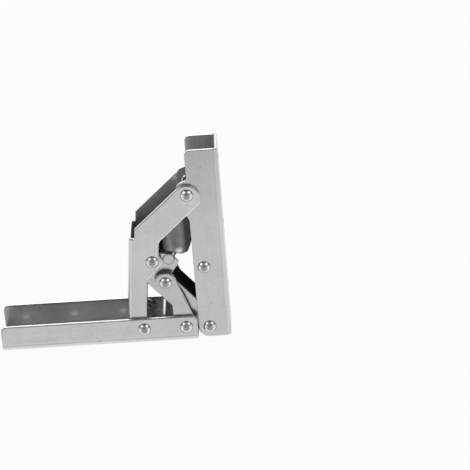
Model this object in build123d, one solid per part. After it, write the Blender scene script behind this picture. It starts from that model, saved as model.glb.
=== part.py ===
from build123d import *
import math
import os

os.makedirs("parts", exist_ok=True)

# Folding right-angle bracket of pressed steel channels, in millimetres, open at 90 degrees.
# X runs along the table rail towards the leg, Y across the bracket, Z up the leg.
# The origin is the middle screw hole of the table rail, on the rail's screw-down face.

# Sheet and the stack of cheeks, from the outside in: rail, arm, leg, latch link
sheet = 1.5
slip = 0.15                  # gap between two cheeks that turn on each other
bend = 2.5                   # outer radius of a folded corner
rail_width = 26.0
rail_half = rail_width / 2
arm_half = rail_half - sheet - slip
leg_half = arm_half - sheet - slip
core_half = leg_half - sheet - slip

# Rivets
shank = 2.0                  # radius
hole_gap = 0.05              # radial clearance of a rivet in its hole
head = 3.7
head_rise = 2.1
head_rim = 0.4
head_shoulder = (2.6, 1.55)   # where the head's slope breaks: radius and height
tail = 3.0
tail_rise = 1.1

# Table rail
rail_reach = 132.0           # from the leg's screw-down face to the rail's far end
rail_height = 16.0
rail_corner = 3.2
leg_gap = 0.4                # between the rail's end and the leg
screw_hole = 2.5
rail_hole_first = 121.0
rail_hole_pitch = 28.5
screw_holes = 3
tab_half = 9.6               # stop tab lanced out of the rail's web
tab_x = -38.4
tab_height = 15.9
tab_window = 15.0
window_corner = 1.2

# Leg rail
leg_height = 121.0
leg_depth = 18.5
leg_corner = 3.2
leg_foot_radius = 6.2
ear_radius = 6.0
ear_drop = 16.5              # the ear's lower side blends into the flange this far below its pivot
leg_hole_first = 112.0
leg_hole_pitch = 41.0

# Pivots, as X and Z
arm_pivot = (-49.6, 9.3)
link_pivot = (-25.4, 9.3)
latch_pivot = (-12.1, 6.7)
lever_pivot = (-12.6, 46.1)
leg_pivot = (-18.9, 93.8)
knee = (-35.2, 38.1)
guide = (-41.6, 52.4)
catch = (-32.4, 51.6)

# Main arm
arm_lean = 84.8              # direction of the lower part, in degrees from X
arm_slant = 43.0             # direction of the upper part
arm_back = 9.5               # from the arm pivot's line to the web's outer face
arm_front = 1.3              # from the same line to the front edge above the table rail
arm_neck = 7.6               # the same, above the guide stud
arm_foot = 6.6               # where the web starts, clear of the rail's floor when folded
arm_heel = 4.4
web_short = 6.184912         # from the web's end up to the bend of the cheeks' rear edge
arm_step = 3.4               # from the web's outer face to the cheeks' rear edge above it
arm_lobe = 6.2
slant_over = 6.6
slant_under = 8.8
slant_end = 6.4
guide_boss = 5.2
shoulder_low = 31.1
shoulder_high = 39.1
corner_soft = 1.0
neck_fillet = 4.0
shoulder_fillet = 3.0

# Short link, a pair of flat plates between the table rail and the knee
link_lobe = 6.2
link_foot = 6.2
link_waist = 30.0            # height where the rear edge turns upright
link_waist_fillet = 8.0

# Latch link, a channel from the knee down into the leg, with a nose for the lever
latch_lean = 129.1
latch_web = 5.4              # from the knee to the web's outer face
latch_front = 8.8            # from the knee to the free edge
latch_lobe = 6.4
latch_web_top = 0.9
latch_web_foot = 36.0
nose_low = (3.5, 13.9)       # along and across the link, from the knee
nose_high = (10.0, 14.5)
nose_crown = (15.1, 9.7)
nose_back = (16.2, 7.2)
latch_heel = (9.6, -8.0)
nose_fillet = 1.2
catch_radius = 3.0
catch_proud = 0.05

# Release lever, a thumb hood with a wide round nose, on its own pin in the leg
lever_sheet = 1.2
lever_nose = 7.6             # radius of its nose, nearly half its width
lever_swell = -26.8          # where the cheeks turn in
lever_waist = -22.2
lever_flat = -17.6           # where the flat ears start
waist_depth = 1.7
waist_round = 6.0
lever_front = -39.6
lever_lip = 57.6
lever_lip_inner = (-33.8, 57.3)
lever_lip_outer = (-30.4, 56.1)
lever_toe = (-23.3, 53.9)
lever_heel = (-18.9, 64.2)
lever_hub = 5.3
lever_top_front = 73.5
lever_top_back = 89.0
lever_top_x = -13.0
lever_fillet = 1.6

# Torsion spring on the lever pin
wire = 0.55
coil_radius = 3.3
coil_turns = 3
coil_pitch = 1.6
spring_gap = 0.1
wire_sides = 6
arm_step_down = 0.06         # the arms are drawn this much thinner than the coil
spring_drop = 4.6            # the short arm's tip below the lever pivot
spring_hook = (-15.6, 60.5)  # hole in the lever's front ear for the long arm's hooked end
hook_gap = 0.15

# Knee spacer and guide stud
spacer_radius = 5.6
face_gap = 0.05              # between a turning cheek and the rivet tail or spacer beside it
stud_button = 4.0
stud_gap = 0.2

far = 200.0


def spot(start, angle, along, across):
    """Point at a distance along a direction and across to its right."""
    c = math.cos(math.radians(angle))
    s = math.sin(math.radians(angle))
    return (start[0] + along * c + across * s, start[1] + along * s - across * c)


def meet(a, angle_a, b, angle_b):
    """Crossing of two lines, each given by a point and a direction."""
    ca, sa = math.cos(math.radians(angle_a)), math.sin(math.radians(angle_a))
    cb, sb = math.cos(math.radians(angle_b)), math.sin(math.radians(angle_b))
    along = ((b[0] - a[0]) * sb - (b[1] - a[1]) * cb) / (ca * sb - sa * cb)
    return (a[0] + along * ca, a[1] + along * sa)


def outline(corners):
    """Face in the XZ plane from corners given as (point, radius)."""
    points = [point for point, radius in corners]
    radii = [radius for point, radius in corners]
    return Plane.XZ * make_face(FilletPolyline(*points, radius=radii, close=True))


def disc(centre, radius):
    return Plane.XZ * Pos(centre[0], centre[1]) * Circle(radius)


def through(face):
    """The face carried right across the bracket."""
    return extrude(face, amount=far, both=True)


def cheeks(face, half, thickness=sheet, sides=(-1, 1)):
    """The face as flat plates whose outer faces lie at a half width."""
    plates = [extrude(Pos(0, side * half, 0) * face, amount=side * thickness) for side in sides]
    return plates[0] if len(plates) == 1 else plates[0] + plates[1]


def channel(half, thickness, radius, foot, inward):
    """Endless folded channel: foot is a point on the web's outer face, inward an angle."""
    inner = half - thickness
    section = FilletPolyline(
        (-half, far), (-half, 0), (half, 0), (half, far),
        (inner, far), (inner, thickness), (-inner, thickness), (-inner, far),
        radius=[0, radius, radius, 0, 0, radius - thickness, radius - thickness, 0],
        close=True,
    )
    c = math.cos(math.radians(inward))
    s = math.sin(math.radians(inward))
    place = Plane(origin=(foot[0], 0, foot[1]), x_dir=(0, 1, 0), z_dir=(s, 0, -c))
    return extrude(place * make_face(section), amount=far, both=True)


def bore(centre, radius=shank + hole_gap):
    return through(disc(centre, radius))


def turned(profile, centre, level, side):
    """A revolved piece whose axis crosses the bracket; its zero lies at a level on one side."""
    solid = revolve(Plane.XZ * make_face(Polyline(*profile, close=True)), Axis.Z)
    return Plane(origin=(centre[0], side * level, centre[1]), z_dir=(0, side, 0)) * solid


def head_side(start, out=1):
    """Outline of a rivet head from its crown to the face it sits on, upwards or downwards."""
    steps = [(0, head_rise), head_shoulder, (head, head_rim), (head, 0), (shank, 0)]
    return [(radius, start + out * height) for radius, height in steps]


def rivet(centre, outer, inner, side, tail_height=tail_rise, tail_radius=tail):
    """Headed rivet from an outer face to its formed tail."""
    profile = head_side(outer - inner)
    if tail_height:
        profile += [(shank, 0), (tail_radius, 0), (tail_radius, -tail_height), (0, -tail_height)]
    else:
        profile += [(shank, 0), (0, 0)]
    return turned(profile, centre, inner, side)


def table_rail():
    end = -leg_depth - leg_gap
    side_view = outline([
        ((-rail_reach, 0), 0), ((end, 0), 0),
        ((end, rail_height), rail_corner), ((-rail_reach, rail_height), rail_corner),
    ])
    rail = channel(rail_half, sheet, bend, (0, 0), 90) & through(side_view)
    window_place = Pos(tab_x + sheet + tab_window / 2, 0)
    window = window_place * RectangleRounded(tab_window, 2 * tab_half + 0.4, window_corner)
    rail -= extrude(window, amount=sheet * 2, both=True)
    tab = Pos(tab_x + sheet / 2, 0, tab_height / 2) * Box(sheet, 2 * tab_half, tab_height)
    rail += fillet(tab.edges().filter_by(Axis.X).group_by(Axis.Z)[-1], 1.0)
    for number in range(screw_holes):
        rail -= Pos(-rail_hole_first + number * rail_hole_pitch, 0, 0) * Cylinder(screw_hole, 4 * sheet)
    return rail - bore(arm_pivot) - bore(link_pivot)


def leg_rail():
    x, z = leg_pivot
    left = -leg_depth
    side_view = outline([
        ((0, 0), 0), ((0, leg_height), 0), ((left, leg_height), leg_corner),
        ((left, z + ear_radius + 2.4), 1.8), ((x - ear_radius, z + ear_radius), ear_radius * 0.96),
        ((x - ear_radius, z - ear_radius), ear_radius * 0.9), ((left, z - ear_drop), 7.0),
        ((left, 0), leg_foot_radius),
    ])
    leg = channel(leg_half, sheet, bend, (0, 0), 180) & through(side_view)
    for number in range(screw_holes):
        leg -= Pos(0, 0, leg_hole_first - number * leg_hole_pitch) * Rot(0, 90, 0) * Cylinder(screw_hole, 4 * sheet)
    return leg - bore(leg_pivot) - bore(latch_pivot) - bore(lever_pivot)


def main_arm():
    def low(along, across):
        return spot(arm_pivot, arm_lean, along, across)

    over = spot(leg_pivot, arm_slant, 0, -slant_over)
    under = spot(leg_pivot, arm_slant, 0, slant_under)
    end_radius = (slant_over + slant_under) / 2 - 0.05
    rear = low(0, -arm_back + arm_step)
    rear_bend = meet(rear, arm_lean, over, arm_slant)
    web_end = math.dist(rear, rear_bend) - web_short
    side_view = outline([
        (low(arm_foot, -arm_back), corner_soft),
        (low(web_end, -arm_back), 0),
        (low(web_end, -arm_back + arm_step), 0.5),
        (rear_bend, corner_soft),
        (spot(leg_pivot, arm_slant, slant_end, -slant_over), end_radius),
        (spot(leg_pivot, arm_slant, slant_end, slant_under), end_radius),
        (meet(low(0, arm_neck), arm_lean, under, arm_slant), neck_fillet),
        (low(shoulder_high, arm_neck), corner_soft),
        (low(shoulder_low, arm_front), shoulder_fillet),
        (low(arm_lobe, arm_front), 0.8),
        (low(arm_lobe, arm_lobe), arm_lobe - 1.4),
        (low(-arm_lobe, arm_lobe), arm_lobe - 0.1),
        (low(-arm_lobe, -arm_heel), arm_lobe - 0.1),
    ]) + disc(guide, guide_boss)
    arm = channel(arm_half, sheet, bend, low(0, -arm_back), arm_lean - 90) & through(side_view)
    return arm - bore(arm_pivot) - bore(leg_pivot) - bore(guide)


def short_link(side):
    lean = math.degrees(math.atan2(knee[1] - link_pivot[1], knee[0] - link_pivot[0]))
    rear_foot = (link_pivot[0] - link_foot - 0.8, link_pivot[1])
    rear_top = spot(knee, lean, 0, -link_lobe)
    front_foot = spot(link_pivot, lean, 0, link_foot)
    front_top = spot(knee, lean, 0, link_lobe)
    bar = outline([
        (rear_foot, 0), (front_foot, 0), (front_top, 0), (rear_top, 0),
        ((rear_foot[0], link_waist - link_lobe), link_waist_fillet),
    ])
    view = bar + disc(knee, link_lobe) + disc(link_pivot, link_foot)
    return cheeks(view, arm_half, sides=(side,)) - bore(link_pivot) - bore(knee)


def latch_link():
    def at(along, across):
        return spot(knee, latch_lean, along, across)

    flat = latch_web - bend
    shaft = outline([
        (at(latch_web_top, latch_web), 0), (at(latch_web_top, -latch_front), 0),
        (at(-latch_web_foot + latch_lobe, -latch_front), 8.0),
        (at(-latch_web_foot, 0), 3.0), (at(-latch_web_foot, latch_web), 0),
    ]) + disc(latch_pivot, latch_lobe)
    nose = outline([
        (at(-latch_lobe, -latch_front), 0), (at(-latch_lobe, flat), 0), (at(latch_web_top, flat), 0),
        (at(latch_web_top, latch_web), 0), (at(*nose_low), nose_fillet), (at(*nose_high), nose_fillet),
        (at(*nose_crown), nose_fillet), (at(*nose_back), nose_fillet), (at(*latch_heel), 2.4),
        (at(latch_heel[0] - 3.0, -latch_front), 1.0),
    ])
    folded = channel(core_half, sheet, bend, at(0, latch_web), latch_lean + 90) & through(shaft)
    link = folded + cheeks(nose, core_half)
    return link - bore(latch_pivot) - bore(knee) - bore(catch, catch_radius + hole_gap)


def hood_plan(inset, end):
    """Plan of the lever: a round nose, a swelling, a waist, then flat ears round the hub."""
    half = core_half - inset
    corners = [
        ((lever_front + inset, half), lever_nose - inset), ((lever_swell, half), waist_round - inset),
        ((lever_waist, half - waist_depth), waist_round + inset), ((lever_flat, half), waist_round - inset),
    ]
    other = [((x, -y), radius) for (x, y), radius in corners[::-1]]
    corners += [((end, half), 0), ((end, -half), 0)] + other
    points = [point for point, radius in corners]
    radii = [radius for point, radius in corners]
    return make_face(FilletPolyline(*points, radius=radii, close=True))


def release_lever():
    x, z = lever_pivot
    side_view = outline([
        ((lever_front - 1, lever_lip), 0), (lever_lip_inner, 1.0), (lever_lip_outer, 1.0),
        (lever_toe, lever_fillet), (lever_heel, lever_fillet),
        ((x - lever_hub, z + lever_hub), 0), ((x - lever_hub, z), 0),
        ((x + lever_hub, z), 0), ((x + lever_hub, z + lever_hub), 2.0),
        ((lever_top_x, lever_top_back - lever_hub), 3.0), ((lever_top_x, lever_top_back), lever_fillet),
        ((lever_front - 1, lever_top_front), 0),
    ]) + disc(lever_pivot, lever_hub)
    hood = extrude(hood_plan(0, 10) - hood_plan(lever_sheet, 12), amount=far)
    lever = (hood & through(side_view)) - bore(lever_pivot)
    return lever - extrude(disc(spring_hook, wire + hook_gap), amount=far)


def lever_pin():
    reach = 2 * leg_half
    return turned(head_side(reach) + head_side(0, -1)[::-1], lever_pivot, -leg_half, 1)


def catch_pin():
    reach = 2 * (core_half + catch_proud)
    body = Cylinder(catch_radius, reach)
    body = chamfer(body.edges(), 0.15)
    return Pos(catch[0], 0, catch[1]) * Rot(90, 0, 0) * body


def lever_spring():
    """Coil on the lever pin: a short arm against the leg's web, a long one hooked into the lever."""
    x, z = lever_pivot
    short_tip = (-sheet - wire - spring_gap - x, -spring_drop)
    long_tip = (spring_hook[0] - x, spring_hook[1] - z)
    short_arm = math.sqrt(short_tip[0] ** 2 + short_tip[1] ** 2 - coil_radius ** 2)
    long_arm = math.sqrt(long_tip[0] ** 2 + long_tip[1] ** 2 - coil_radius ** 2)
    first = math.atan2(short_tip[1], short_tip[0]) + math.atan2(short_arm, coil_radius)
    last = math.atan2(long_tip[1], long_tip[0]) - math.atan2(long_arm, coil_radius)
    turns = coil_turns + math.degrees(last - first) % 360 / 360
    length = turns * coil_pitch
    helix = Helix(pitch=coil_pitch, height=length, radius=coil_radius)
    start, finish = helix @ 0, helix @ 1
    round_wire = RegularPolygon(wire, wire_sides)
    spring = sweep(Plane(origin=start, z_dir=helix % 0) * round_wire, path=helix, is_frenet=True)
    back = Vector(0, -short_arm, length / 2)
    ahead = Vector((helix % 1).X, (helix % 1).Y, 0).normalized() * long_arm - Vector(0, 0, length / 2)
    for joint, arm in ((start, back), (finish, ahead)):
        overlap = arm.normalized() * wire
        rod = Plane(origin=joint - overlap, z_dir=arm) * RegularPolygon(wire - arm_step_down, wire_sides)
        spring += extrude(rod, amount=arm.length + wire)
    hook = Plane(origin=finish + ahead, z_dir=(0, 0, 1)) * Circle(wire)
    spring += extrude(hook, amount=core_half - wire)
    return Pos(x, length / 2, z) * Rot(90, 0, 0) * Rot(0, 0, math.degrees(first)) * spring


def knee_spacer(side):
    inner = core_half + face_gap
    thickness = arm_half - sheet - inner
    ring = Cylinder(spacer_radius, thickness) - Cylinder(shank + hole_gap, thickness)
    return Pos(knee[0], side * (inner + thickness / 2), knee[1]) * Rot(90, 0, 0) * ring


def knee_rivet(side):
    return rivet(knee, arm_half, core_half + face_gap, side, tail_height=0)


def guide_stud(side):
    inner = arm_half - sheet
    button = inner - core_half - stud_gap
    return rivet(guide, arm_half, inner, side, tail_height=button, tail_radius=stud_button)


origin = rail_hole_first - rail_hole_pitch * (screw_holes - 1) / 2
parts = {
    "table_rail": table_rail(),
    "leg_rail": leg_rail(),
    "main_arm": main_arm(),
    "latch_link": latch_link(),
    "release_lever": release_lever(),
    "lever_pin": lever_pin(),
    "lever_spring": lever_spring(),
    "catch_pin": catch_pin(),
}
for place, side in (("front", -1), ("back", 1)):
    parts[f"short_link_{place}"] = short_link(side)
    parts[f"arm_rivet_{place}"] = rivet(arm_pivot, rail_half, arm_half - sheet - face_gap, side)
    parts[f"link_rivet_{place}"] = rivet(link_pivot, rail_half, arm_half - sheet - face_gap, side)
    parts[f"leg_rivet_{place}"] = rivet(leg_pivot, arm_half, leg_half - sheet - face_gap, side)
    parts[f"latch_rivet_{place}"] = rivet(latch_pivot, leg_half, core_half - sheet - face_gap, side)
    parts[f"knee_rivet_{place}"] = knee_rivet(side)
    parts[f"knee_spacer_{place}"] = knee_spacer(side)
    parts[f"guide_stud_{place}"] = guide_stud(side)

for name, solid in parts.items():
    export_step(Pos(origin, 0, 0) * solid, f"parts/{name}.step")
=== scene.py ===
import math

import bmesh
import bpy
from mathutils import Matrix, Vector


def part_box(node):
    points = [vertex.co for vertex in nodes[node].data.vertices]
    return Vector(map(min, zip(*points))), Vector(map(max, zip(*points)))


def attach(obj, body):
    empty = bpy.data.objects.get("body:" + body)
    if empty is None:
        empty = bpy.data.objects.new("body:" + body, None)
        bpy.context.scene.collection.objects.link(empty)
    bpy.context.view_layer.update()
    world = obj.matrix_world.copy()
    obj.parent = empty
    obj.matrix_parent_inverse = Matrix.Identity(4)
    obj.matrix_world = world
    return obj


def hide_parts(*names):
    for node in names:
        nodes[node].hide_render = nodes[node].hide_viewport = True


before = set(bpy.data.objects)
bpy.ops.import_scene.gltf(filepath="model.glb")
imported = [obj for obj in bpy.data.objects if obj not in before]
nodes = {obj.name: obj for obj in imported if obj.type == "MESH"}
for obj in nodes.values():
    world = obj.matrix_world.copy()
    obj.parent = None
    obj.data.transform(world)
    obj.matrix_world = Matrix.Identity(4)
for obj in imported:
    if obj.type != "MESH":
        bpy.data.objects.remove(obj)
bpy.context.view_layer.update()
scene = bpy.context.scene
print("frame loaded with", len(nodes), "nodes")


# A Wire is one socket of a material: sums written on it add their Math nodes
class Wire:
    def __init__(self, bench, socket):
        self.bench = bench
        self.socket = socket

    def sum(self, operation, *values, clamp=False):
        settings = {"operation": operation, "use_clamp": clamp}
        return self.bench.make("ShaderNodeMath", settings, dict(enumerate(values)))

    def __add__(self, other):
        return self.sum("ADD", self, other)

    def __radd__(self, other):
        return self.sum("ADD", other, self)

    def __sub__(self, other):
        return self.sum("SUBTRACT", self, other)

    def __rsub__(self, other):
        return self.sum("SUBTRACT", other, self)

    def __mul__(self, other):
        return self.sum("MULTIPLY", self, other)

    def __rmul__(self, other):
        return self.sum("MULTIPLY", other, self)

    def absolute(self):
        return self.sum("ABSOLUTE", self)

    def clamped(self):
        return self.sum("ADD", self, 0.0, clamp=True)

    def ramp(self, low, high):  # 0 below low, 1 above high, smooth between
        sockets = {"Value": self, "From Min": low, "From Max": high}
        return self.bench.make("ShaderNodeMapRange", {"interpolation_type": "SMOOTHSTEP"}, sockets)

    def band(self, middle, width):  # 1 at the middle, 0 a width away on both sides
        return 1 - (self - middle).absolute().ramp(0.0, width)


class Bench:  # where one material's nodes, or the sky's, are put together
    def __init__(self, owner):
        self.owner = owner
        owner.use_nodes = True
        self.tree = owner.node_tree
        self.tree.nodes.clear()
        self.count = 0

    def make(self, kind, settings=None, sockets=None, out=0):
        node = self.tree.nodes.new(kind)
        node.location = (self.count * 40, -(self.count % 7) * 160)
        self.count += 1
        for key, value in (settings or {}).items():
            if key == "stops":
                while len(node.color_ramp.elements) < len(value):
                    node.color_ramp.elements.new(0.5)
                for stop, (place, shade) in zip(node.color_ramp.elements, value):
                    stop.position = place
                    stop.color = (shade, shade, shade, 1)
            else:
                setattr(node, key, value)
        for key, value in (sockets or {}).items():
            if isinstance(value, Wire):
                self.tree.links.new(value.socket, node.inputs[key])
            else:
                node.inputs[key].default_value = value
        return Wire(self, node.outputs[out]) if len(node.outputs) else None

    def vector(self, operation, first, second=None, scale=None, out=0):
        sockets = {0: first}
        if second is not None:
            sockets[1] = second
        if scale is not None:
            sockets["Scale"] = scale
        return self.make("ShaderNodeVectorMath", {"operation": operation}, sockets, out)

    def place(self):  # the piece's own coordinates, in millimetres
        spot = self.make("ShaderNodeTexCoord", out="Object")
        return self.vector("SCALE", spot, scale=1000.0)

    def moved(self, spot, steps, seed):  # each piece cuts its pattern from another spot
        return self.vector("ADD", spot, tuple(seed * step for step in steps))

    def depth(self, spot, direction, start=0.0):  # millimetres along a direction, from a starting plane
        return self.vector("DOT_PRODUCT", spot, direction, out="Value") - start

    def reach(self, spot, centre):  # millimetres from an axis that runs across the bracket
        away = self.vector("SUBTRACT", spot, (centre[0], 0, centre[1]))
        return self.vector("LENGTH", self.vector("MULTIPLY", away, (1, 0, 1)), out="Value")

    def stretched(self, spot, scale, turn):
        sockets = {"Vector": spot, "Rotation": (0, math.radians(turn), 0)}
        turned = self.make("ShaderNodeMapping", {"vector_type": "POINT"}, sockets)
        return self.vector("MULTIPLY", turned, scale)

    def noise(self, spot, scale, detail, rough):
        sockets = {"Vector": spot, "Scale": scale, "Detail": detail, "Roughness": rough}
        return self.make("ShaderNodeTexNoise", {"noise_dimensions": "3D"}, sockets)

    def specks(self, spot, scale, low, high):  # 1 in scattered small spots
        field = self.make("ShaderNodeTexVoronoi", {"feature": "F1"}, {"Vector": spot, "Scale": scale})
        return 1 - field.ramp(low, high)

    def graph(self, value, points):  # a tone that runs through chosen points
        low, high = points[0][0], points[-1][0]
        share = self.make("ShaderNodeMapRange", None, {"Value": value, "From Min": low, "From Max": high})
        stops = [((place - low) / (high - low), shade) for place, shade in points]
        return self.make("ShaderNodeValToRGB", {"stops": stops}, {"Fac": share})

    def grey(self, value):
        return self.make("ShaderNodeCombineColor", {"mode": "RGB"}, {0: value, 1: value, 2: value})

    def edges(self, radius):  # rounded normals, and a mask along sharp edges
        soft = self.make("ShaderNodeBevel", {"samples": 6}, {"Radius": radius / 1000})
        flat = self.make("ShaderNodeNewGeometry", out="True Normal")
        return soft, 1 - self.vector("DOT_PRODUCT", soft, flat, out="Value")

    def relief(self, look, height, normal=None):
        sockets = {"Strength": look["relief"], "Distance": look["reliefDepth"], "Height": height}
        if normal:
            sockets["Normal"] = normal
        return self.make("ShaderNodeBump", None, sockets)

    def metal(self, tone, rough, normal, metallic=1.0, glint=0.5):
        sockets = {
            "Base Color": self.grey(tone.clamped()), "Roughness": rough.clamped(), "Normal": normal,
            "Metallic": metallic, "Specular IOR Level": glint,
        }
        shader = self.make("ShaderNodeBsdfPrincipled", None, sockets)
        self.make("ShaderNodeOutputMaterial", None, {"Surface": shader})
        return self.owner


def material(name):
    return Bench(bpy.data.materials.new(name))


def dress(piece, steel):
    if not piece.material_slots:
        piece.data.materials.append(None)
    for slot in piece.material_slots:
        slot.material = steel


def boxOf(node):  # a node's lowest and highest corner, in millimetres
    return [[part * 1000 for part in corner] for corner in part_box(node)]


def sideCentre(node):  # middle of a node's box in the side view
    low, high = boxOf(node)
    return (low[0] + high[0]) / 2, (low[2] + high[2]) / 2


# Satin pressed sheet. A noise is given by its scale, detail and roughness, and a spread of specks
# by its scale and the two distances between which each speck fades.
sheetSteel = {
    "tone": 0.545, "roughness": 0.24, "roughSpread": 0.07, "glint": 0.5, "turn": 0.0,
    "patternShift": (31.7, 12.3, 7.9),
    "cloud": 0.07, "cloudNoise": (0.06, 4.0, 0.6), "blotchNoise": (0.33, 3.0, 0.55),
    "lines": 0.018, "lineStretch": (0.04, 3.5, 3.5), "lineNoise": (1.0, 2.0, 0.6),
    "broadStretch": (0.03, 0.5, 0.5), "broadNoise": (1.0, 3.0, 0.6),
    "pits": 0.6, "pitSpecks": (0.13, 0.03, 0.06), "pitRough": 0.2,
    "scratches": 0.04, "scratchTurn": 62, "scratchStretch": (0.03, 1.5, 1.5),
    "scratchNoise": (1.0, 1.0, 0.5), "scratchLimits": (0.745, 0.76),
    "relief": 0.05, "reliefDepth": 0.00002,
    "lineHeight": 0.4, "blotchHeight": 0.6, "pitHeight": 0.8, "scratchHeight": 0.5,
    "edgeRadius": 0.8, "edgeMask": (0.002, 0.03), "edgeLean": (0.05, 0.3), "edgeFacing": (0.5, 0.7),
    # painted shade on edges that face up, painted highlight on edges that face down
    "upperEdgeShade": 0.9, "lowerEdgeHighlight": 0.45,
    "archFade": (-0.8, 0.4), "archShade": 0.8,
    "fold": None, "shade": None, "arch": None,
}

# A folded channel has a fine painted shade line and a fainter painted highlight echo where the fold
# begins, a painted highlight over the bend, its web and the inside of its walls in painted light and
# shade of their own, and painted highlights on its cut edges. Depths are in millimetres from the
# web's outer face, and sideways limits are from the walls' inner faces.
channelSteel = {
    **sheetSteel,
    "foldSize": 2.3, "foldShade": 0.03, "foldHighlight": 0.07, "foldBlend": 0.6,
    "foldLine": (0.35, 0.45), "foldEcho": (1.2, 0.5), "echoShare": 0.5,
    "webShade": 1.0, "webDull": 0.0, "webStart": (-0.5, -0.2), "webEnd": (1.6, 2.6), "webSides": (0.9, 1.3),
    "insideLight": 1.1, "insideMetal": 0.5, "insideShade": None,
    "wallSides": (0.05, 0.2), "wallDepth": (1.2, 1.4),
    "cutHighlight": 0.35, "cutFacing": (0.2, 0.4), "cutDepth": (2.4, 2.8),
}


def channelTones(bench, look, spot, facing, tone):  # the tone and metallic of a folded channel
    deep = bench.depth(spot, *look["fold"])
    beyond = bench.depth(spot, (0, 1, 0)).absolute() - look["inside"]
    size = look["foldSize"]
    lineMiddle, lineWidth = look["foldLine"]
    echoMiddle, echoWidth = look["foldEcho"]
    # painted shade line just past the fold, a fainter painted highlight echo beyond it, and a painted
    # highlight over the bend
    tone = tone - deep.band(size + lineMiddle, lineWidth) * look["foldShade"]
    tone = tone + deep.band(size + echoMiddle, echoWidth) * (look["foldShade"] * look["echoShare"])
    tone = tone + (1 - deep.ramp(size - look["foldBlend"], size)) * look["foldHighlight"]
    # painted shade over the web: the latch link's web is painted nearly black
    web = (1 - deep.ramp(*look["webEnd"])) * deep.ramp(*look["webStart"])
    web = web * (1 - beyond.ramp(*look["webSides"]))
    tone = tone * (1 - web * (1 - look["webShade"]))
    within = (1 - beyond.ramp(*look["wallSides"])) * deep.ramp(*look["wallDepth"])
    metallic = (1 - within * (1 - look["insideMetal"])) * (1 - web * look["webDull"])
    # painted light: the inside faces of the walls lighter than the outside of the same sheet
    tone = tone * (1 + within * (look["insideLight"] - 1))
    # painted light and shade on the inside faces, changing along one direction
    if look["insideShade"]:
        direction, points = look["insideShade"]
        tone = tone * (1 - within * (1 - bench.graph(bench.depth(spot, direction), points)))
    # painted highlight on the cut faces of the walls
    cut = (1 - facing.ramp(*look["cutFacing"])) * beyond.ramp(*look["wallSides"])
    cut = cut * deep.ramp(*look["cutDepth"])
    return tone + cut * look["cutHighlight"], metallic


def sheetMaterial(name, look, seed):
    bench = material(name + "Steel")
    spot = bench.place()
    shifted = bench.moved(spot, look["patternShift"], seed)
    cloud = bench.noise(shifted, *look["cloudNoise"])
    blotch = bench.noise(shifted, *look["blotchNoise"])
    lines = bench.noise(bench.stretched(shifted, look["lineStretch"], look["turn"]), *look["lineNoise"])
    broad = bench.noise(bench.stretched(shifted, look["broadStretch"], look["turn"]), *look["broadNoise"])
    pits = bench.specks(shifted, *look["pitSpecks"])
    slanted = bench.stretched(shifted, look["scratchStretch"], look["turn"] + look["scratchTurn"])
    scratch = bench.noise(slanted, *look["scratchNoise"]).ramp(*look["scratchLimits"])
    tone = look["tone"] + (cloud - 0.5) * (2 * look["cloud"]) + (blotch - 0.5) * look["cloud"]
    tone = tone + (lines - 0.5) * (2 * look["lines"]) + (broad - 0.5) * (3 * look["lines"])
    tone = tone * (1 - pits * look["pits"]) + scratch * look["scratches"]
    # painted shade: a broad change of tone along one direction
    if look["shade"]:  # a broad change of tone along one direction
        direction, points = look["shade"]
        tone = tone * bench.graph(bench.depth(spot, direction), points)
    facing = bench.depth(bench.make("ShaderNodeTexCoord", out="Normal"), (0, 1, 0)).absolute()
    metallic = 1.0
    if look["fold"]:
        tone, metallic = channelTones(bench, look, spot, facing, tone)
    # painted shade: a dark arc over only the upper half of the round part, where shade falls
    if look["arch"]:  # a dark arc over a round part set into the sheet: its centre, radius and width
        centre, radius, width = look["arch"]
        over = bench.depth(spot, (0, 0, 1), centre[1]).ramp(*look["archFade"])
        tone = tone * (1 - bench.reach(spot, centre).band(radius, width) * over * look["archShade"])
    # painted shade along edges whose rounded normals face up, and a painted highlight along edges whose
    # rounded normals face down
    soft, mask = bench.edges(look["edgeRadius"])
    mask = mask.ramp(*look["edgeMask"])
    above = bench.depth(soft, (0, 0, 1)).ramp(*look["edgeLean"]) * facing.ramp(*look["edgeFacing"])
    below = bench.depth(soft, (0, 0, -1)).ramp(*look["edgeLean"])
    tone = tone * (1 - mask * above * look["upperEdgeShade"]) + mask * below * look["lowerEdgeHighlight"]
    rough = look["roughness"] + (lines - 0.5) * look["roughSpread"]
    rough = rough + (cloud - 0.5) * (2 * look["roughSpread"]) + pits * look["pitRough"]
    height = lines * look["lineHeight"] + blotch * look["blotchHeight"]
    height = height - pits * look["pitHeight"] - scratch * look["scratchHeight"]
    return bench.metal(tone, rough, bench.relief(look, height, soft), metallic, look["glint"])


def across(angle):  # unit direction in the side view, with the bracket's width left out
    return (math.cos(math.radians(angle)), 0.0, math.sin(math.radians(angle)))


def foldPlane(point, outward, reach):  # a channel's inward direction, and where its web's outer face lies
    direction = across(outward)
    start = point[0] * direction[0] + point[1] * direction[2] + reach
    return tuple(-part for part in direction), -start
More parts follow.
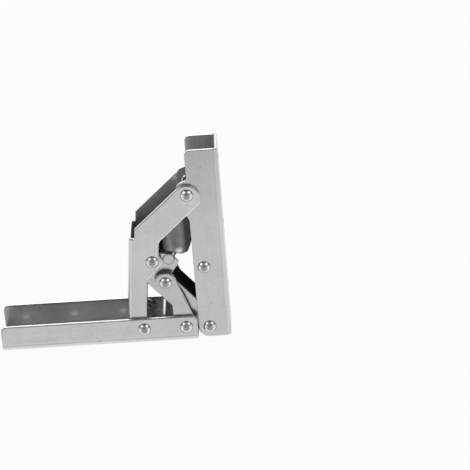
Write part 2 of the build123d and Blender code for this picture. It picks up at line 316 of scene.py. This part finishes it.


# Each sheet piece: the direction it was rolled in, its web's plane and its own tones. A shade is a
# painted shade: a direction and the tone at chosen distances along it.
catchPlace = sideCentre("catch_pin")
sheets = {
    "table_rail": {
        **channelSteel, "turn": 0.0, "fold": foldPlane((0, 0), -90, 0), "inside": 11.5,
        "foldShade": 0.10, "foldHighlight": 0.13, "foldSize": 2.9, "edgeRadius": 1.2,
        "insideLight": 1.2, "insideMetal": 0.75,
        # painted shade inside the rail, nearly black past the tab
        "insideShade": ((1, 0, 0), [
            (-40, 0.6), (-27, 0.72), (-12, 0.68), (0, 0.75), (25, 0.75), (45, 0.7),
            (55.3, 0.9), (55.8, 0.1), (75, 0.1),
        ]),
    },
    "leg_rail": {
        **channelSteel, "turn": 90.0, "fold": foldPlane((92.5, 0), 0, 0), "inside": 8.2,
        # painted shade: the leg rail darker towards its top
        "shade": ((0, 0, 1), [(0, 1.0), (75, 0.97), (105, 0.86), (121, 0.78)]),
    },
    "main_arm": {
        **channelSteel, "turn": 84.8, "fold": foldPlane((42.9, 9.3), 174.8, 9.5), "inside": 9.85,
        "edgeRadius": 1.3, "lowerEdgeHighlight": 0.7, "cutHighlight": 0.9, "insideLight": 1.3,
        # painted shade inside the arm, with a painted highlight band near its upper end
        "insideShade": ((0, 0, 1), [
            (40, 0.7), (70, 0.5), (84, 0.9), (92, 0.8), (95, 1.5), (98, 0.7), (110, 0.9),
        ]),
    },
    "latch_link": {
        **channelSteel, "turn": 129.0, "fold": foldPlane((57.3, 38.1), 39.1, 5.4), "inside": 6.55,
        # painted shade: the web painted nearly black
        "tone": 0.5, "webShade": 0.03, "webDull": 1.0, "glint": 0.0, "foldHighlight": 0.0, "upperEdgeShade": 0.0,
        # painted shade arc over the catch pin
        "arch": (catchPlace, 3.3, 0.7),
    },
    "short_link_front": {**sheetSteel, "turn": 70.0, "tone": 0.5},
    "short_link_back": {**sheetSteel, "turn": 70.0, "tone": 0.5},
    "knee_spacer_front": {**sheetSteel, "tone": 0.4},
    "knee_spacer_back": {**sheetSteel, "tone": 0.4},
}
for number, (name, look) in enumerate(sheets.items(), 1):
    dress(nodes[name], sheetMaterial(name, look, number))
print("sheet steel dressed on", len(sheets), "pieces")


# Turned and headed rivet steel: rings are the tones of a head from its crown to its rim, painted shade at
# the crown, a painted highlight ring further out and a painted shadow round the rim
rivetSteel = {
    "tone": 0.95, "roughness": 0.27, "roughSpread": 0.08, "patternShift": (17.1, 5.3, 9.7),
    "cloud": 0.08, "cloudNoise": (0.5, 4.0, 0.6), "fineNoise": (3.0, 3.0, 0.6),
    "pits": 0.4, "pitSpecks": (0.7, 0.04, 0.1),
    "relief": 0.1, "reliefDepth": 0.00003, "cloudHeight": 0.5, "fineHeight": 0.5,
    "rings": [(0, 0.40), (0.9, 0.28), (1.5, 0.36), (2.1, 0.72), (2.8, 0.95), (3.25, 0.6), (3.7, 0.2)],
}
pinSteel = {
    **rivetSteel, "tone": 0.5, "roughness": 0.24,
    "rings": [(0, 1.0), (1.5, 1.04), (2.8, 1.0), (3.1, 1.0)],
}
springSteel = {**rivetSteel, "tone": 0.35, "roughness": 0.3}
pinSeeds = {"catch_pin": 31, "lever_spring": 32, "lever_pin": 40}


def rivetMaterial(name, look, seed, centre=None):
    bench = material(name + "Steel")
    spot = bench.place()
    shifted = bench.moved(spot, look["patternShift"], seed)
    cloud = bench.noise(shifted, *look["cloudNoise"])
    fine = bench.noise(shifted, *look["fineNoise"])
    pits = bench.specks(shifted, *look["pitSpecks"])
    tone = look["tone"] + (cloud - 0.5) * (2 * look["cloud"]) + (fine - 0.5) * look["cloud"]
    tone = tone * (1 - pits * look["pits"])
    # painted shade and painted highlight rings on the domed head
    if centre:
        tone = tone * bench.graph(bench.reach(spot, centre), look["rings"])
    rough = look["roughness"] + (cloud - 0.5) * look["roughSpread"] + (fine - 0.5) * look["roughSpread"]
    height = cloud * look["cloudHeight"] + fine * look["fineHeight"] - pits
    return bench.metal(tone, rough, bench.relief(look, height))


dress(nodes["catch_pin"], rivetMaterial("catch_pin", pinSteel, pinSeeds["catch_pin"], catchPlace))
dress(nodes["lever_spring"], rivetMaterial("lever_spring", springSteel, pinSeeds["lever_spring"]))
print("pin and spring dressed")


weld = 1e-6  # points closer than this are joined, in metres


def meshPiece(name, points, faces, sharp):  # smooth faces, with edges sharper than an angle kept crisp
    mesh = bpy.data.meshes.new(name)
    mesh.from_pydata(points, [], faces)
    shape = bmesh.new()
    shape.from_mesh(mesh)
    bmesh.ops.remove_doubles(shape, verts=shape.verts, dist=weld)
    bmesh.ops.recalc_face_normals(shape, faces=shape.faces)
    for face in shape.faces:
        face.smooth = True
    for edge in shape.edges:
        if len(edge.link_faces) == 2 and edge.calc_face_angle() > math.radians(sharp):
            edge.smooth = False
    shape.to_mesh(mesh)
    shape.free()
    piece = bpy.data.objects.new(name, mesh)
    scene.collection.objects.link(piece)
    return piece


# The lever: a thumb hood with a round nose, a waist and flat ears, its lips rounded over.
# The waist is its place, reach and depth, the hub its centre and radius. Columns are runs of
# upright lines between two places, closer where the outline turns. Lower and upper are the lips.
hoodShape = {
    "half": 8.05, "nose": 7.6, "front": 52.9, "tip": 0.45, "thickness": 1.2, "sharp": 45,
    "lip": 0.3, "lipCorner": 0.3, "rows": 10,
    "waist": (70.3, 4.6, 1.7), "hub": (79.9, 46.1, 5.2), "hubSlack": 0.08,
    "columns": [(53.0, 60.5, 16), (61.0, 65.5, 6), (65.7, 74.9, 20), (74.55, 74.65, 2), (75.0, 85.15, 18)],
    "lower": [
        (52.9, 57.7), (57.0, 57.6), (59.2, 57.2), (62.1, 56.2), (68.4, 54.2), (70.5, 54.6), (71.2, 55.3),
        (74.2, 65.0), (74.58, 66.0), (74.62, 47.5),
    ],
    "upper": [
        (52.9, 73.6), (77.6, 88.0), (78.7, 88.5), (79.4, 87.6), (79.6, 83.6), (85.15, 52.0), (85.2, 50.5),
    ],
}


def along(points, x):  # height of a chain of straight runs at x
    for (x0, z0), (x1, z1) in zip(points, points[1:]):
        if x <= x1:
            return z0 + (z1 - z0) * max(0.0, x - x0) / (x1 - x0)
    return points[-1][1]


def hoodLower(x):
    middle, level, radius = hoodShape["hub"]
    if x <= middle - radius - hoodShape["hubSlack"]:
        return along(hoodShape["lower"], x)
    return level - math.sqrt(max(0.0, radius ** 2 - (x - middle) ** 2))


def hoodHalf(x):  # half the hood's width at x
    middle, reach, depth = hoodShape["waist"]
    half, nose = hoodShape["half"], hoodShape["nose"]
    centre = hoodShape["front"] + nose
    if x < centre:
        return half - nose + math.sqrt(max(0.0, nose ** 2 - (x - centre) ** 2))
    if abs(x - middle) < reach:
        return half - depth * (0.5 + 0.5 * math.cos(math.pi * (x - middle) / reach))
    return half


def hoodPath():  # plan of the outer face, from one ear round the nose to the other
    spots = set()
    for low, high, count in hoodShape["columns"]:
        spots.update(low + (high - low) * step / (count - 1) for step in range(count))
    side = [(x, hoodHalf(x)) for x in sorted(spots)]
    tip = [(hoodShape["front"], hoodShape["tip"] * share) for share in (1, 0, -1)]
    return side[::-1] + tip + [(x, -y) for x, y in side]


def hoodRing(low, high):  # depth and height of the points round one upright cut through the wall
    lip, thick, rows = hoodShape["lip"], hoodShape["thickness"], hoodShape["rows"]
    corner = lip * hoodShape["lipCorner"]
    levels = [low + lip + (high - low - 2 * lip) * row / rows for row in range(rows + 1)]
    outer = [(0.0, level) for level in levels]
    inner = [(thick, level) for level in levels[::-1]]
    top = [(corner, high - corner), (lip, high), (thick - lip, high), (thick - corner, high - corner)]
    bottom = [(thick - corner, low + corner), (thick - lip, low), (lip, low)]
    return [(corner, low + corner)] + outer + top + inner + bottom


def hoodPiece():
    path = [Vector(spot) for spot in hoodPath()]
    points, rings, faces = [], [], []
    for number, spot in enumerate(path):
        ahead = (path[min(number + 1, len(path) - 1)] - path[max(number - 1, 0)]).normalized()
        inward = Vector((-ahead.y, ahead.x))
        ring = hoodRing(hoodLower(spot.x), along(hoodShape["upper"], spot.x))
        rings.append([len(points) + place for place in range(len(ring))])
        for depth, level in ring:
            flat = spot + inward * depth
            points.append((flat.x / 1000, flat.y / 1000, level / 1000))
    for first, second in zip(rings, rings[1:]):
        for place in range(len(first)):
            after = (place + 1) % len(first)
            faces.append((first[place], first[after], second[after], second[place]))
    faces += [tuple(rings[0]), tuple(rings[-1][::-1])]
    return meshPiece("lever_hood", points, faces, hoodShape["sharp"])


# Steel painted dark as shade, with upright streaks round the hood's curve, a painted highlight patch
# over the lip and a painted shade rim along the lower lip. The patch is its place, its spread and its
# light, the rim a direction and where it starts, and the tones are the painted shade and reflection along
# the hood.
hoodShadedSteel = {
    "cloud": 0.35, "cloudNoise": (0.25, 4.0, 0.6),
    "streaks": 0.5, "streakStretch": (1.6, 1.6, 0.07), "streakNoise": (1.0, 3.0, 0.6),
    "pits": 0.6, "pitSpecks": (0.22, 0.03, 0.06),
    "roughness": 0.2, "streakRough": 0.1, "pitRough": 0.2,
    "relief": 0.06, "reliefDepth": 0.00003, "cloudHeight": 0.5,
    "patch": (66.3, 56.9, 3.0, 2.6, 0.5),
    "rim": ((0.296, 0, 0.955), 71.96), "rimFade": (0.35, 0.7), "rimShade": 0.25,
    "tones": [
        (52.0, 0.16), (56.0, 0.10), (58.6, 0.07), (60.2, 0.16), (61.5, 0.22), (63.5, 0.14), (66.0, 0.17),
        (67.6, 0.21), (69.3, 0.14), (70.6, 0.05), (74.5, 0.035), (80.0, 0.12), (88.0, 0.25),
    ],
}


def hoodMaterial(look):
    bench = material("release_leverSteel")
    spot = bench.place()
    parts = [bench.make("ShaderNodeSeparateXYZ", None, {0: spot}, out) for out in range(3)]
    cloud = bench.noise(spot, *look["cloudNoise"])
    streaks = bench.noise(bench.vector("MULTIPLY", spot, look["streakStretch"]), *look["streakNoise"])
    pits = bench.specks(spot, *look["pitSpecks"])
    # painted shade and painted reflection columns along the hood
    tone = bench.graph(parts[0], look["tones"])
    tone = tone * (1 + (cloud - 0.5) * (2 * look["cloud"]) + (streaks - 0.5) * (2 * look["streaks"]))
    # painted highlight patch over the lip
    x, z, wide, tall, light = look["patch"]
    tone = tone + parts[0].band(x, wide) * parts[2].band(z, tall) * light
    # painted shade below a slanted line along the lower lip
    rise = bench.depth(spot, *look["rim"]).ramp(*look["rimFade"])
    tone = tone * (look["rimShade"] + rise * (1 - look["rimShade"])) * (1 - pits * look["pits"])
    rough = look["roughness"] + (streaks - 0.5) * look["streakRough"] + pits * look["pitRough"]
    height = streaks + cloud * look["cloudHeight"] - pits
    return bench.metal(tone, rough, bench.relief(look, height))


hood = hoodPiece()
dress(hood, hoodMaterial(hoodShadedSteel))
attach(hood, "lever")
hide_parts("release_lever")
print("lever hood formed with", len(hood.data.polygons), "faces")


# Rivets, studs and the lever pin: smooth domed heads in place of the plain ones
headShape = {
    "radius": 3.7, "rise": 2.1, "rim": 0.3, "seat": 0.03, "shank": 2.0, "tailCorners": (0.3, 0.4),
    "around": 56, "rings": 14, "sharp": 40,
}


def domeOutline(level, out):  # from the crown down to the face the head sits on, out is 1 or -1
    radius, rings = headShape["radius"], headShape["rings"]
    tall = headShape["rise"] - headShape["rim"]
    ball = (radius ** 2 + tall ** 2) / (2 * tall)
    points = []
    for step in range(rings + 1):
        reach = radius * step / rings
        points.append((reach, level + out * (headShape["rise"] - ball + math.sqrt(ball ** 2 - reach ** 2))))
    return points + [(radius - headShape["seat"], level), (headShape["shank"], level)]


def turnedPiece(name, outline, centre):  # a lathe round an axis across the bracket, in millimetres
    count = headShape["around"]
    turns = [2 * math.pi * step / count for step in range(count)]
    points, faces = [], []
    for radius, level in outline:
        for turn in turns:
            x = centre[0] + radius * math.cos(turn)
            z = centre[1] + radius * math.sin(turn)
            points.append((x / 1000, level / 1000, z / 1000))
    for ring in range(len(outline) - 1):
        start, above = ring * count, (ring + 1) * count
        for step in range(count):
            after = (step + 1) % count
            faces.append((start + step, start + after, above + after, above + step))
    return meshPiece(name, points, faces, headShape["sharp"])


# What each rivet rides on, how far its tail stands behind its face, and how wide the tail is
tails = {
    "arm_rivet": ("table_side", 1.1, 3.0), "link_rivet": ("table_side", 1.1, 3.0),
    "leg_rivet": ("arm", 1.1, 3.0), "latch_rivet": ("leg_side", 1.1, 3.0),
    "knee_rivet": ("short_link", 0, 0), "guide_stud": ("arm", 1.6, 4.0),
}


def headedRivet(node, side, tailHeight, tailRadius):  # side is 1 at the back and -1 at the front
    low, high = boxOf(node)
    ends = (high[1], low[1]) if side > 0 else (low[1], high[1])
    outer = ends[0] - side * headShape["rise"]
    inner = ends[1] + side * tailHeight
    outline = domeOutline(outer, side) + [(headShape["shank"], inner)]
    if tailHeight:
        seat, crown = headShape["tailCorners"]
        outline += [
            (tailRadius - seat, inner), (tailRadius, inner - side * seat),
            (tailRadius, inner - side * (tailHeight - crown)),
            (tailRadius - crown, inner - side * tailHeight),
        ]
    outline.append((0, inner - side * tailHeight))
    return turnedPiece(node + "_dome", outline, sideCentre(node))


def leverPin():
    low, high = boxOf("lever_pin")
    front = domeOutline(low[1] + headShape["rise"], -1)
    back = domeOutline(high[1] - headShape["rise"], 1)
    return turnedPiece("lever_pin_dome", front + back[::-1], sideCentre("lever_pin"))


def fitRivet(node, body, piece, seed):
    dress(piece, rivetMaterial(node, rivetSteel, seed, sideCentre(node)))
    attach(piece, body)
    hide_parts(node)


seed = 0
for family, (body, tailHeight, tailRadius) in tails.items():
    for end, side in (("_front", -1), ("_back", 1)):
        fitRivet(family + end, body, headedRivet(family + end, side, tailHeight, tailRadius), seed)
        seed += 1
fitRivet("lever_pin", "leg_side", leverPin(), pinSeeds["lever_pin"])
print("rivet heads turned")


# Floor and light. Each softbox is its place, its size and its power.
studio = {
    "floorSize": 12.0, "floorTone": 0.9, "floorWhite": 0.93,
    "flag": (1.1, 0.30), "flagPlace": (0.62, 0.72, 0.15), "flagTone": 0.02,
    "backLow": 0.95, "backHigh": 0.85, "top": 0.25, "front": 0.22,
    "backRise": (-0.15, 0.35), "highRise": (0.15, 0.4), "topRise": (0.72, 0.95),
    "aim": (0.03, 0.0, 0.05),
    "softboxes": {
        "rearSoftbox": ((0.03, 1.1, 0.75), (1.6, 0.8), 4.6),
        "leftSoftbox": ((-1.0, -0.9, 1.0), (0.7, 0.7), 4.0),
        "rightSoftbox": ((1.1, -0.9, 1.0), (0.7, 0.7), 4.0),
    },
}


def studioCard(name, corners, tone):
    mesh = bpy.data.meshes.new(name)
    mesh.from_pydata(corners, [], [(0, 1, 2, 3)])
    card = bpy.data.objects.new(name, mesh)
    scene.collection.objects.link(card)
    bench = material(name + "Paper")
    card.data.materials.append(bench.owner)
    return bench, bench.make("ShaderNodeBsdfDiffuse", None, {"Color": (tone, tone, tone, 1)})


def plainFloor():  # pale floor, white to the camera and in mirrored views
    half = studio["floorSize"] / 2
    corners = [(-half, -half, 0), (half, -half, 0), (half, half, 0), (-half, half, 0)]
    bench, paper = studioCard("floor", corners, studio["floorTone"])
    rays = ("Is Camera Ray", "Is Glossy Ray", "Is Transmission Ray")
    paths = [bench.make("ShaderNodeLightPath", out=ray) for ray in rays]
    seen = (paths[0] + paths[1] + paths[2]).clamped() * studio["floorWhite"]
    white = bench.make("ShaderNodeEmission", None, {"Color": (1, 1, 1, 1), "Strength": 1.0})
    mixed = bench.make("ShaderNodeMixShader", None, {0: seen, 1: paper, 2: white})
    bench.make("ShaderNodeOutputMaterial", None, {"Surface": mixed})


def darkFlag():  # a black card behind, out of view, that darkens what the steel mirrors
    x, y, z = studio["flagPlace"]
    wide, tall = studio["flag"]
    left, right = x - wide / 2, x + wide / 2
    bottom, top = z - tall / 2, z + tall / 2
    corners = [(left, y, bottom), (right, y, bottom), (right, y, top), (left, y, top)]
    bench, paper = studioCard("flag", corners, studio["flagTone"])
    bench.make("ShaderNodeOutputMaterial", None, {"Surface": paper})


def studioSky():
    world = bpy.data.worlds.new("studioSky")
    scene.world = world
    bench = Bench(world)
    spot = bench.make("ShaderNodeTexCoord", out="Generated")
    parts = [bench.make("ShaderNodeSeparateXYZ", None, {0: spot}, out) for out in range(3)]
    back = parts[1].ramp(*studio["backRise"])
    high = parts[2].ramp(*studio["highRise"])
    top = parts[2].ramp(*studio["topRise"])
    wall = studio["backLow"] + high * (studio["backHigh"] - studio["backLow"])
    tone = studio["front"] + back * (wall - studio["front"])
    tone = tone + top * (studio["top"] - tone)
    sky = bench.make("ShaderNodeBackground", None, {"Color": bench.grey(tone)})
    bench.make("ShaderNodeOutputWorld", None, {"Surface": sky})


def softbox(name, place, size, power):
    lamp = bpy.data.lights.new(name, "AREA")
    lamp.shape = "RECTANGLE"
    lamp.size, lamp.size_y = size
    lamp.energy = power
    holder = bpy.data.objects.new(name, lamp)
    scene.collection.objects.link(holder)
    holder.location = place
    holder.rotation_mode = "QUATERNION"
    holder.rotation_quaternion = (Vector(studio["aim"]) - Vector(place)).to_track_quat("-Z", "Y")


plainFloor()
darkFlag()
studioSky()
for name, (place, size, power) in studio["softboxes"].items():
    softbox(name, place, size, power)
print("floor and light set")


# Camera at the photograph's viewing angle: angles in degrees, lengths in metres, and the focal
# length, the picture's width and the pixel on the line of sight in pixels
shot = {
    "azimuth": -4.68, "elevation": 29.507, "roll": -5.878, "distance": 1.46915,
    "target": (0.0325, 0.0, 0.055),
    "focal": 2575.77, "width": 470, "sight": (120.035, 250.298), "sensor": 36, "clip": (0.05, 50),
}


def makeCamera():
    azimuth, elevation, roll = (math.radians(shot[key]) for key in ("azimuth", "elevation", "roll"))
    flat = math.cos(elevation)
    sight = Vector((math.sin(azimuth) * flat, math.cos(azimuth) * flat, -math.sin(elevation)))
    level = Vector((math.cos(azimuth), -math.sin(azimuth), 0))
    upright = level.cross(sight)
    right = math.cos(roll) * level + math.sin(roll) * upright
    up = math.cos(roll) * upright - math.sin(roll) * level
    middle = shot["width"] / 2
    aim = sight * shot["focal"] + right * (middle - shot["sight"][0]) - up * (middle - shot["sight"][1])
    turn = sight.rotation_difference(aim.normalized())
    axes = Matrix((turn @ right, turn @ up, turn @ -sight)).transposed()
    camera = bpy.data.objects.new("camera", bpy.data.cameras.new("camera"))
    scene.collection.objects.link(camera)
    camera.data.sensor_width = shot["sensor"]
    camera.data.lens = shot["sensor"] * shot["focal"] / shot["width"]
    camera.data.clip_start, camera.data.clip_end = shot["clip"]
    start = Vector(shot["target"]) - sight * shot["distance"]
    camera.matrix_world = Matrix.Translation(start) @ axes.to_4x4()
    scene.camera = camera


makeCamera()
scene.view_settings.view_transform = "Standard"
print("camera set")
